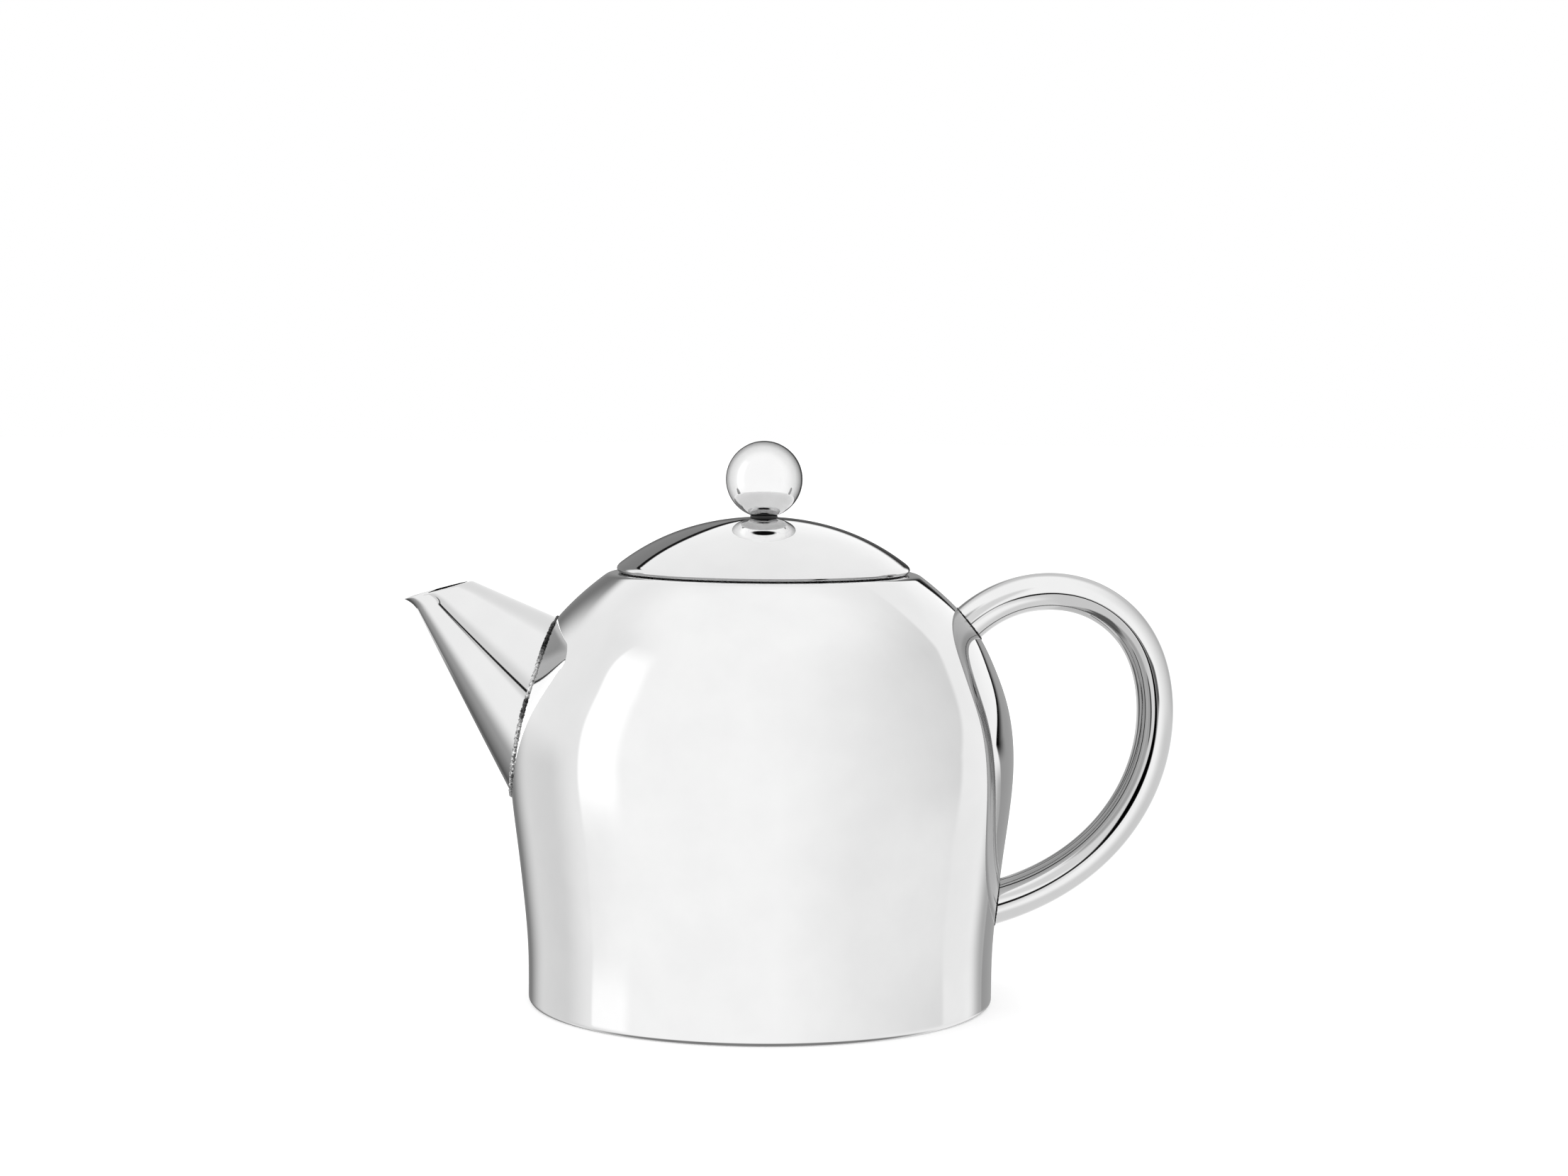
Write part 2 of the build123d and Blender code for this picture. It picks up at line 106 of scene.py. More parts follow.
# Measures that only the meshes have, in millimetres.
EDGE_BREAK = 0.12  # bevel on the sheet's cut edge at the mouth
LIP_EDGE_DEPTH = 0.25  # where the lip starts to round over to its inside
SPOUT_SINK = 0.25  # the cone goes this far under the body's surface
HANDLE_SINK = 0.0015  # the same for each end of the handle, as a share of its line
KNOB_BEVEL = 0.1
KNOB_HOLE_DEPTH = 7.5
BALL_FLAT_GAP = 0.012  # radians of the ball's arc left for the bevel at its flat
BALL_TOP_GAP = 0.004  # the same at its top, where the last point closes it

# The weld beads: their radius and how lumpy they are.
SPOUT_BEAD, SPOUT_RIPPLE = 0.68, 0.35
HANDLE_BEAD, HANDLE_RIPPLE = 0.32, 0.2
BEAD_STEP = 0.14  # between rings
RIPPLE_PITCH = 0.9
LUMP_SIZE = 0.45
LUMP_TURN = 0.8  # how fast the lumps change round the bead
LUMP_SHARE = 0.3
NOISE_SLICE = 3.1
GROUND_SHARE = 0.62  # thickness left where the top was ground down
GROUND_FALL = 5.0
BELLY_HEIGHT = 66.0  # where the body is widest
SIDE_LEAN = 0.25

# How finely the pieces are divided.
BODY_ROWS, BODY_COLUMNS = 260, 360
CONE_ROWS, CONE_INNER_ROWS, LIP_ROWS, SPOUT_COLUMNS = 90, 40, 22, 200
HANDLE_ROWS, HANDLE_COLUMNS = 340, 96
HANDLE_STEPS = 2000
DOME_ROWS, RIM_ROWS, LID_COLUMNS = 120, 28, 300
BALL_ROWS, BALL_COLUMNS = 150, 220
BEAD_COLUMNS = 14

# ---------------------------------------------------------------- camera

camera_data = bpy.data.cameras.new("camera")
camera_data.lens = 72.619
camera_data.sensor_width = 36.0
camera_data.sensor_fit = "HORIZONTAL"
camera_data.clip_end = 100.0
camera = bpy.data.objects.new("camera", camera_data)
camera.location = (0.00007, -0.87758, 0.17818)
camera.rotation_euler = Euler((radians(85.9106), radians(-0.5077), radians(-0.3342)))
bpy.context.scene.collection.objects.link(camera)
bpy.context.scene.camera = camera

# ---------------------------------------------------------------- curves and meshes


def spline(points, count, start=None, end=None):
    """Points and unit tangents of a cubic through points, with given or free end directions."""
    p = np.array(points, float)
    h = np.linalg.norm(np.diff(p, axis=0), axis=1)
    at = np.concatenate(([0.0], np.cumsum(h)))
    n = len(p)
    a = np.zeros((n, n))
    b = np.zeros_like(p)
    for i in range(1, n - 1):
        a[i, i - 1] = 1 / h[i - 1]
        a[i, i] = 2 / h[i - 1] + 2 / h[i]
        a[i, i + 1] = 1 / h[i]
        b[i] = 3 * ((p[i] - p[i - 1]) / h[i - 1] ** 2 + (p[i + 1] - p[i]) / h[i] ** 2)
    for i, j, step, given in ((0, 1, h[0], start), (n - 1, n - 2, h[-1], end)):
        if given is None:
            a[i, i], a[i, j] = 2, 1
            b[i] = 3 * (p[max(i, j)] - p[min(i, j)]) / step
        else:
            a[i, i] = 1
            b[i] = np.array(given) / np.linalg.norm(given)
    m = np.linalg.solve(a, b)
    t = np.linspace(0, at[-1], count)
    k = np.clip(np.searchsorted(at, t, side="right") - 1, 0, n - 2)
    s = ((t - at[k]) / h[k])[:, None]
    hk = h[k][:, None]
    place = (
        (2 * s**3 - 3 * s**2 + 1) * p[k]
        + (s**3 - 2 * s**2 + s) * hk * m[k]
        + (-2 * s**3 + 3 * s**2) * p[k + 1]
        + (s**3 - s**2) * hk * m[k + 1]
    )
    along = (
        (6 * s**2 - 6 * s) * p[k] / hk
        + (3 * s**2 - 4 * s + 1) * m[k]
        + (-6 * s**2 + 6 * s) * p[k + 1] / hk
        + (3 * s**2 - 2 * s) * m[k + 1]
    )
    return place, along / np.linalg.norm(along, axis=1)[:, None]


def arc(centre, radius, start, end, count):
    """Points of an arc, angles in radians."""
    turn = np.linspace(start, end, count)
    return np.stack((centre[0] + radius * np.cos(turn), centre[1] + radius * np.sin(turn)), 1)


def beside(place, along, distance):
    """The curve moved to its right."""
    return place + np.stack((along[:, 1], -along[:, 0]), 1) * distance


def join(*runs):
    """Runs of points as one run, without repeated points."""
    points = np.concatenate([np.array(run, float) for run in runs])
    keep = np.ones(len(points), bool)
    keep[1:] = np.linalg.norm(np.diff(points, axis=0), axis=1) > 1e-4
    return points[keep]


def add_piece(name, points, faces, body, slot, replaces, sharp=radians(35)):
    """A mesh piece from points in millimetres."""
    mesh = bpy.data.meshes.new(name)
    mesh.from_pydata((np.array(points) * MM).tolist(), [], faces)
    mesh.validate()
    mesh.shade_smooth()
    mesh.set_sharp_from_angle(angle=sharp)
    piece = bpy.data.objects.new(name, mesh)
    bpy.context.scene.collection.objects.link(piece)
    piece.data.materials.append(SLOT_MATERIALS[slot])
    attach(piece, body)
    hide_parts(*replaces)


def grid_faces(rows, columns, wrap_rows=False):
    """Quads between closed rows of points; the last row joins the first if wrapped."""
    faces = []
    for i in range(rows if wrap_rows else rows - 1):
        j = (i + 1) % rows
        for k in range(columns):
            m = (k + 1) % columns
            faces.append((i * columns + k, i * columns + m, j * columns + m, j * columns + k))
    return faces


def lathe(outline, columns, closed):
    """Points and faces of an outline of (radius, height) turned about Z."""
    turn = np.linspace(0, 2 * pi, columns, endpoint=False)
    r, z = outline[:, 0][:, None], outline[:, 1][:, None]
    points = np.stack((r * np.cos(turn), r * np.sin(turn), z + 0 * turn), -1)
    return points.reshape(-1, 3), grid_faces(len(outline), columns, wrap_rows=closed)


# ---------------------------------------------------------------- materials


def grey(level):
    """A neutral colour; level is its share of red, green and blue."""
    return level, level, level


def new_material(name):
    """A material, its node tree and its shader."""
    material = bpy.data.materials.new(name)
    material.use_nodes = True
    return material, material.node_tree, material.node_tree.nodes["Principled BSDF"]


def add_noise(tree, scale, detail=3.0, stretch=(1, 1, 1), roughness=0.5):
    """Noise in the object's own coordinates; scale is in waves per metre."""
    place = tree.nodes.new("ShaderNodeTexCoord")
    mapping = tree.nodes.new("ShaderNodeMapping")
    mapping.inputs["Scale"].default_value = stretch
    pattern = tree.nodes.new("ShaderNodeTexNoise")
    pattern.inputs["Scale"].default_value = scale
    pattern.inputs["Detail"].default_value = detail
    pattern.inputs["Roughness"].default_value = roughness
    tree.links.new(place.outputs["Object"], mapping.inputs["Vector"])
    tree.links.new(mapping.outputs["Vector"], pattern.inputs["Vector"])
    return pattern.outputs["Fac"]


def ranged(tree, value, low, high, start=0.3, end=0.7):
    """A value between start and end mapped to low to high."""
    spread = tree.nodes.new("ShaderNodeMapRange")
    spread.inputs["From Min"].default_value = start
    spread.inputs["From Max"].default_value = end
    spread.inputs["To Min"].default_value = low
    spread.inputs["To Max"].default_value = high
    tree.links.new(value, spread.inputs["Value"])
    return spread.outputs["Result"]


def joined(tree, operation, first, second):
    """Two values joined by a math operation."""
    node = tree.nodes.new("ShaderNodeMath")
    node.operation = operation
    tree.links.new(first, node.inputs[0])
    tree.links.new(second, node.inputs[1])
    return node.outputs[0]


def tinted(tree, value, dark, light, low=0.3, high=0.7):
    """A value between low and high mapped to dark to light."""
    ramp = tree.nodes.new("ShaderNodeValToRGB")
    ramp.color_ramp.elements[0].position = low
    ramp.color_ramp.elements[0].color = (*dark, 1)
    ramp.color_ramp.elements[1].position = high
    ramp.color_ramp.elements[1].color = (*light, 1)
    tree.links.new(value, ramp.inputs["Fac"])
    return ramp.outputs["Color"]


def bumped(tree, shader, value, strength, distance):
    """Fine relief from a value; distance is in metres."""
    bump = tree.nodes.new("ShaderNodeBump")
    bump.inputs["Strength"].default_value = strength
    bump.inputs["Distance"].default_value = distance
    tree.links.new(value, bump.inputs["Height"])
    tree.links.new(bump.outputs["Normal"], shader.inputs["Normal"])


def polished_steel():
    """Mirror polish: a trace of haze and the slow waves of pressed sheet."""
    material, tree, shader = new_material("polished_steel")
    shader.inputs["Metallic"].default_value = 1.0
    haze = add_noise(tree, 90, 4)
    colour = tinted(tree, haze, (0.608, 0.608, 0.609), grey(0.63))
    tree.links.new(colour, shader.inputs["Base Color"])
    tree.links.new(ranged(tree, haze, 0.018, 0.034), shader.inputs["Roughness"])
    bumped(tree, shader, add_noise(tree, 28, 1), 0.25, 0.00006)
    return material


def satin_steel():
    """Inside surfaces: fine turned lines and a softer shine."""
    material, tree, shader = new_material("satin_steel")
    shader.inputs["Metallic"].default_value = 1.0
    lines = add_noise(tree, 60, 5, (1, 1, 60))
    colour = tinted(tree, lines, (0.66, 0.66, 0.67), grey(0.8))
    tree.links.new(colour, shader.inputs["Base Color"])
    tree.links.new(ranged(tree, lines, 0.2, 0.34), shader.inputs["Roughness"])
    bumped(tree, shader, lines, 0.3, 0.00002)
    return material


def weld_steel():
    """Weld bead: small uneven ripples, with painted shade near black in places, set by height."""
    material, tree, shader = new_material("weld_steel")
    shader.inputs["Metallic"].default_value = 1.0
    ripple = add_noise(tree, 1500, 3, roughness=0.65)
    bright = tinted(tree, ripple, grey(0.1), grey(0.75), 0.36, 0.66)
    # painted shade: the near-black colour laid where the weld sits in the shade of the corner
    painted_dark = tinted(tree, ripple, grey(0.004), grey(0.05), 0.4, 0.7)
    place = tree.nodes.new("ShaderNodeTexCoord")
    parts = tree.nodes.new("ShaderNodeSeparateXYZ")
    tree.links.new(place.outputs["Object"], parts.inputs["Vector"])
    # painted shade, near black at the top, at the foot and in a short stretch between, by height in metres
    height = parts.outputs["Z"]
    top = ranged(tree, height, 0.0, 1.0, 0.094, 0.100)
    low = ranged(tree, height, 1.0, 0.0, 0.040, 0.046)
    seam_top = ranged(tree, height, 0.9, 0.0, 0.0862, 0.0872)
    seam_low = ranged(tree, height, 0.0, 0.9, 0.0800, 0.0812)
    seam = joined(tree, "MINIMUM", seam_top, seam_low)
    painted_shade = joined(tree, "MAXIMUM", joined(tree, "MAXIMUM", top, low), seam)
    colour = tree.nodes.new("ShaderNodeMixRGB")
    tree.links.new(painted_shade, colour.inputs["Fac"])
    tree.links.new(bright, colour.inputs["Color1"])
    tree.links.new(painted_dark, colour.inputs["Color2"])
    tree.links.new(colour.outputs["Color"], shader.inputs["Base Color"])
    tree.links.new(ranged(tree, ripple, 0.35, 0.12), shader.inputs["Roughness"])
    bumped(tree, shader, ripple, 0.8, 0.0003)
    return material


def dark_washer():
    """Matt near-black washer; its black is painted shade for the shaded neck under the ball."""
    material, tree, shader = new_material("dark_washer")
    grain = add_noise(tree, 900, 3)
    # painted shade: near-black colour standing in for the shade in the neck under the ball
    colour = tinted(tree, grain, grey(0.008), grey(0.02))
    tree.links.new(colour, shader.inputs["Base Color"])
    tree.links.new(ranged(tree, grain, 0.45, 0.65), shader.inputs["Roughness"])
    bumped(tree, shader, grain, 0.3, 0.00005)
    return material


SLOT_MATERIALS = {
    "polished_steel": polished_steel(),
    "satin_steel": satin_steel(),
    "weld_steel": weld_steel(),
    "dark_washer": dark_washer(),
}
for entry in frame["record"]["subparts"]:
    for holder in frame["nodes"][entry["node"]].material_slots:
        holder.material = SLOT_MATERIALS[entry["material_slot"]]

# ---------------------------------------------------------------- body

shoulder_end = (
    MOUTH_FLAT_RADIUS + MOUTH_ROUND * sin(SHOULDER_SLOPE),
    MOUTH_HEIGHT - MOUTH_ROUND + MOUTH_ROUND * cos(SHOULDER_SLOPE),
)
shoulder_way = (-cos(SHOULDER_SLOPE), sin(SHOULDER_SLOPE))
body_side, body_along = spline(BODY_OUTLINE + [shoulder_end], BODY_ROWS, (0, 1), shoulder_way)


def body_radius(height):
    """The outer shell's radius at a height on its side."""
    return np.interp(height, body_side[:, 1], body_side[:, 0])


def outside_body(point):
    """How far outside the outer shell's side a point is, measured level."""
    return np.hypot(point[0], point[1]) - body_radius(point[2])


def crossing(path, inside, outside, steps=40):
    """Where a path of a number leaves the body, between a number inside and one outside."""
    for _ in range(steps):
        middle = (inside + outside) / 2
        if outside_body(path(middle)) > 0:
            outside = middle
        else:
            inside = middle
    return (inside + outside) / 2


def rounding(offset):
    """The rounding at the mouth, moved out by offset."""
    centre = (MOUTH_FLAT_RADIUS, MOUTH_HEIGHT - MOUTH_ROUND)
    return arc(centre, MOUTH_ROUND + offset, pi / 2 - SHOULDER_SLOPE, pi / 2, 12)


foot = (BODY_OUTLINE[0][0] - FOOT_CORNER, FOOT_CORNER)
shell_outline = join(
    [(FOOT_INNER_RADIUS, 0.0)],
    arc(foot, FOOT_CORNER, -pi / 2, 0, 9),
    body_side,
    rounding(0),
    [(MOUTH_EDGE_RADIUS + EDGE_BREAK, MOUTH_HEIGHT), (MOUTH_EDGE_RADIUS, MOUTH_HEIGHT - EDGE_BREAK)],
    [(MOUTH_EDGE_RADIUS, MOUTH_HEIGHT - SHELL_WALL)],
    rounding(-SHELL_WALL)[::-1],
    beside(body_side, body_along, -SHELL_WALL)[::-4],
    arc(foot, FOOT_CORNER - SHELL_WALL, 0, -pi / 2, 5),
    [(FOOT_INNER_RADIUS, SHELL_WALL)],
)
axis_slope = radians((CONE_UPPER_SLOPE + CONE_LOWER_SLOPE) / 2)
cone_axis = np.array((cos(axis_slope), 0.0, -sin(axis_slope)))


def with_port(points, faces):
    """The shell with the round port under the spout."""
    away = points - CONE_APEX
    along = away @ cone_axis
    across = away - along[:, None] * cone_axis
    far = np.linalg.norm(across, axis=1)
    inside = (far < PORT_RADIUS) & (along < PORT_DEPTH)
    kept = [f for f in faces if not all(inside[v] for v in f)]
    rim = sorted({v for f in kept for v in f if inside[v]})
    points = points.copy()
    points[rim] += across[rim] * (PORT_RADIUS / far[rim] - 1)[:, None]
    return points, kept


points, faces = lathe(shell_outline, BODY_COLUMNS, closed=True)
points, faces = with_port(points, faces)
add_piece("body_shell", points, faces, "pot", "polished_steel", ["outer_shell"])

# ---------------------------------------------------------------- spout

half_angle = radians((CONE_LOWER_SLOPE - CONE_UPPER_SLOPE) / 2)


def falling(slope):
    """The direction, in the plane of symmetry, of a line that falls by a slope in degrees."""
    return np.array((cos(radians(slope)), -sin(radians(slope))))


def lip_ring(depth, inward):
    """Points round the spout, a depth below the plane of its mouth."""
    along = np.array((cos(MOUTH_TILT), sin(MOUTH_TILT)))
    normal = np.array((-sin(MOUTH_TILT), cos(MOUTH_TILT)))
    apex = (CONE_APEX + cone_axis * inward / sin(half_angle))[[0, 2]]
    corner = MOUTH_BACK_CORNER - normal * depth
    low_side = falling(CONE_LOWER_SLOPE)
    high_side = falling(CONE_UPPER_SLOPE)
    low = (corner - apex) @ normal / (low_side @ normal)
    high = (corner - apex) @ normal / (high_side @ normal)
    width = sqrt(low * high) * sin(half_angle)
    reach = LIP_REACH * max(0.0, 1 - depth / LIP_DEPTH) ** 2
    front = apex + low_side * low - along * reach
    back = apex + high_side * high
    centre = (front + back) / 2
    length = np.linalg.norm(back - front) / 2
    turn = np.linspace(0, 2 * pi, SPOUT_COLUMNS, endpoint=False)
    ring = centre[None, :] + np.cos(turn)[:, None] * along * length
    return np.stack((ring[:, 0], np.sin(turn) * width, ring[:, 1]), 1)


def cone_rings(inward, rows, sink):
    """The line where the cone meets the body, and rings from there to the start of the lip."""
    apex = CONE_APEX + cone_axis * inward / sin(half_angle)
    top = lip_ring(LIP_DEPTH, inward)
    base = []
    for point in top:
        s = crossing(lambda k: apex + (point - apex) * k, 8.0, 1.0)
        base.append(apex + (point - apex) * s)
    base = np.array(base)
    inner = base + (base - top) / np.linalg.norm(base - top, axis=1)[:, None] * sink
    return base, [inner + (top - inner) * t for t in np.linspace(0, 1, rows)]


spout_base, rings = cone_rings(0, CONE_ROWS, SPOUT_SINK)
rings += [lip_ring(depth, 0) for depth in np.linspace(LIP_DEPTH, LIP_EDGE_DEPTH, LIP_ROWS)[1:]]
edge_out, edge_in = lip_ring(0.0, 0), lip_ring(0.0, SPOUT_WALL)
drop = np.array((-sin(MOUTH_TILT), 0, cos(MOUTH_TILT)))
# the rounded edge: share of the wall's thickness and depth
for share, depth in ((0.1, 0.07), (0.3, 0.0), (0.7, 0.0), (0.9, 0.07)):
    rings.append(edge_out + (edge_in - edge_out) * share - drop * depth)
rings += [lip_ring(depth, SPOUT_WALL) for depth in np.linspace(LIP_EDGE_DEPTH, LIP_DEPTH, LIP_ROWS)]
rings += cone_rings(SPOUT_WALL, CONE_INNER_ROWS, 0.0)[1][::-1][1:]
points = np.concatenate(rings)
faces = grid_faces(len(rings), SPOUT_COLUMNS)
add_piece("spout_cone", points, faces, "pot", "polished_steel", ["spout"], radians(60))


def bead_piece(name, line, out, radius, body, node, ripple):
    """A lumpy weld bead along a closed line; out is the direction away from the corner."""
    line = np.array(line)
    lengths = np.linalg.norm(np.roll(line, -1, 0) - line, axis=1)
    total = lengths.sum()
    count = int(total / BEAD_STEP)
    at = np.concatenate(([0.0], np.cumsum(lengths)))
    t = np.linspace(0, total, count, endpoint=False)
    closed_line = np.vstack((line, line[:1]))
    closed_out = np.vstack((out, out[:1]))
    place = np.stack([np.interp(t, at, closed_line[:, k]) for k in range(3)], 1)
    up = np.stack([np.interp(t, at, closed_out[:, k]) for k in range(3)], 1)
    up /= np.linalg.norm(up, axis=1)[:, None]
    ahead = np.roll(place, -1, 0) - np.roll(place, 1, 0)
    ahead /= np.linalg.norm(ahead, axis=1)[:, None]
    side = np.cross(ahead, up)
    crown = place[:, 2].max()
    points = []
    for i in range(count):
        wave = noise.noise(Vector((t[i] / RIPPLE_PITCH, NOISE_SLICE, radius)))
        for k in range(BEAD_COLUMNS):
            turn = 2 * pi * k / BEAD_COLUMNS
            way = up[i] * cos(turn) + side[i] * sin(turn)
            lump = noise.noise(Vector(place[i] / LUMP_SIZE) + Vector(way) * LUMP_TURN)
            size = radius * (1 + ripple * wave + LUMP_SHARE * lump)
            size *= min(1.0, GROUND_SHARE + (crown - place[i][2]) / GROUND_FALL)
            points.append(place[i] + way * size)
    faces = grid_faces(count, BEAD_COLUMNS, wrap_rows=True)
    add_piece(name, points, faces, body, "weld_steel", [node], radians(180))


def outward(line):
    """Directions out of the corner between the body and what is welded to it."""
    middle = np.mean(line, axis=0)
    from_body = np.array([(p[0], p[1], SIDE_LEAN * (p[2] - BELLY_HEIGHT)) for p in line])
    from_body /= np.linalg.norm(from_body, axis=1)[:, None]
    away = line - middle
    away /= np.linalg.norm(away, axis=1)[:, None]
    return from_body + away


around = outward(spout_base)
bead_piece("spout_weld", spout_base, around, SPOUT_BEAD, "pot", "spout_weld_bead", SPOUT_RIPPLE)

# ---------------------------------------------------------------- handle

handle_place, handle_along = spline(HANDLE_LINE, HANDLE_STEPS + 1)


def handle_point(u, turn):
    """A point of the tube's surface; u runs from its upper end to its lower end."""
    i = min(max(u, 0.0), 1.0) * HANDLE_STEPS
    k = min(int(i), HANDLE_STEPS - 1)
    s = i - k
    place = handle_place[k] * (1 - s) + handle_place[k + 1] * s
    along = handle_along[k] * (1 - s) + handle_along[k + 1] * s
    along = along / np.linalg.norm(along)
    a, b, c = HANDLE_RADIUS_TERMS
    radius = a + b * u + c * u * u
    side, up = radius * cos(turn), radius * sin(turn)
    return np.array((place[0] - along[1] * up, side, place[1] + along[0] * up))


rows, upper, lower = [], [], []
for k in range(HANDLE_COLUMNS):
    turn = 2 * pi * k / HANDLE_COLUMNS
    first = crossing(lambda u: handle_point(u, turn), 0.0, 0.3)
    last = crossing(lambda u: handle_point(u, turn), 1.0, 0.7)
    span = np.linspace(first - HANDLE_SINK, last + HANDLE_SINK, HANDLE_ROWS)
    rows.append([handle_point(u, turn) for u in span])
    upper.append(handle_point(first, turn))
    lower.append(handle_point(last, turn))
points = np.array(rows).transpose(1, 0, 2).reshape(-1, 3)
faces = grid_faces(HANDLE_ROWS, HANDLE_COLUMNS)
add_piece("handle_tube", points, faces, "pot", "polished_steel", ["handle"], radians(80))
for name, line, node in (
    ("handle_weld_upper", np.array(upper), "handle_upper_weld"),
    ("handle_weld_lower", np.array(lower), "handle_lower_weld"),
):
    bead_piece(name, line, outward(line), HANDLE_BEAD, "pot", node, HANDLE_RIPPLE)

# ---------------------------------------------------------------- lid


def dome_height(radius):
    """Height of the lid's outside at a radius."""
    share = (np.asarray(radius) / DOME_UNIT) ** 2
    return DOME_TOP - DOME_DROP[0] * share - DOME_DROP[1] * share * share


dome_radii = np.linspace(SCREW_RADIUS, LID_DOME_RADIUS, DOME_ROWS)
dome = np.stack((dome_radii, dome_height(dome_radii)), 1)
short = 0.01  # a short way, to measure the slope over
dome_end = float(dome_height(LID_DOME_RADIUS))
slope = (dome_end - float(dome_height(LID_DOME_RADIUS - short))) / short
dome_along = np.gradient(dome, axis=0)
dome_along /= np.linalg.norm(dome_along, axis=1)[:, None]
under = beside(dome, dome_along, LID_WALL)
rim_points = [(LID_DOME_RADIUS, dome_end), (LID_RADIUS, LID_EDGE_HEIGHT), (LID_UNDER_RADIUS, MOUTH_HEIGHT)]
rim = spline(rim_points, RIM_ROWS, (1, slope), (-1, 0))[0]
lid_outline = join(
    dome,
    rim,
    [(LID_HEM_RADIUS, MOUTH_HEIGHT)],
    [(LID_HEM_RADIUS, MOUTH_HEIGHT + LID_WALL)],
    [(under[-1][0], MOUTH_HEIGHT + LID_WALL)],
    under[::-3],
    [(SCREW_RADIUS, DOME_TOP - LID_WALL)],
)
points, faces = lathe(lid_outline, LID_COLUMNS, closed=True)
faces = [f[::-1] for f in faces]  # this outline runs downwards
add_piece("lid_dome", points, faces, "lid", "polished_steel", ["lid_cover"])

# ---------------------------------------------------------------- knob

knob_centre = KNOB_SEAT + sqrt(KNOB_RADIUS**2 - KNOB_FLAT_RADIUS**2)
start = asin((KNOB_SEAT - knob_centre) / KNOB_RADIUS)
end = pi / 2 - BALL_TOP_GAP
ball = arc((0, knob_centre), KNOB_RADIUS, start + BALL_FLAT_GAP, end, BALL_ROWS)
ball_outline = join(
    [(SCREW_RADIUS, KNOB_SEAT + KNOB_HOLE_DEPTH)],
    [(SCREW_RADIUS, KNOB_SEAT)],
    [(KNOB_FLAT_RADIUS - KNOB_BEVEL, KNOB_SEAT)],
    ball,
    [(0.0, knob_centre + KNOB_RADIUS)],
)
points, faces = lathe(ball_outline, BALL_COLUMNS, closed=False)
add_piece("knob_sphere", points, faces, "lid", "polished_steel", ["knob_ball"])

# ---------------------------------------------------------------- studio

MIRROR = 0.62  # share of the light that the polished steel sends back


def shown(level):
    """Light that looks like this display level, 0 to 255, in the polished steel."""
    s = level / 255
    linear = s / 12.92 if s <= 0.04045 else ((s + 0.055) / 1.055) ** 2.4
    return linear / MIRROR


